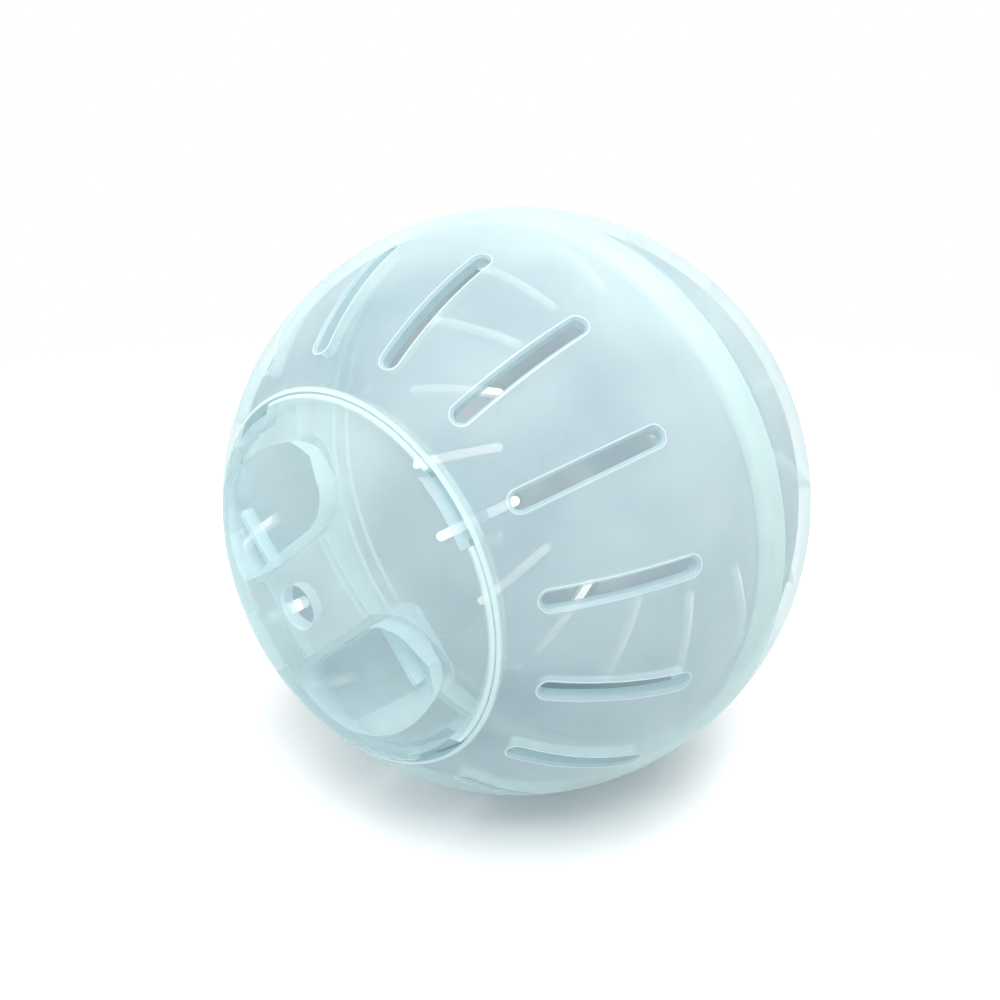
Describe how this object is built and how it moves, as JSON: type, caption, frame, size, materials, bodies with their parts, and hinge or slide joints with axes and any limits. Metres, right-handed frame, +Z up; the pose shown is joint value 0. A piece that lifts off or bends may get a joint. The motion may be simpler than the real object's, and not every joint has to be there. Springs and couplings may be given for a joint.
{
  "type": "hamster ball",
  "caption": "Translucent plastic exercise ball for a small pet, in two halves with radial air slots and a round twist-off lid with finger pockets and a vent hole.",
  "frame": {"origin": "centre of the ball", "axes": "+Z up, the floor touches the ball at the bottom; the axis of the ball is horizontal along Y and the lid faces -Y"},
  "size_m": [0.1, 0.0999, 0.1],
  "materials": {
    "front_plastic": "translucent, satin polypropylene",
    "rear_plastic": "translucent, satin polypropylene",
    "lid_plastic": "translucent, satin polypropylene"
  },
  "bodies": {
    "front_half": {"front_shell": "front_plastic"},
    "rear_half": {"rear_shell": "rear_plastic"},
    "lid": {"lid": "lid_plastic"}
  },
  "joints": [
    {"name": "lid_lift", "type": "slide", "parent": "front_half", "child": "lid", "axis": [0, -1, 0], "range_m": [0, 0.085]},
    {"name": "halves_part", "type": "slide", "parent": "front_half", "child": "rear_half", "axis": [0, 1, 0], "range_m": [0, 0.07]}
  ]
}
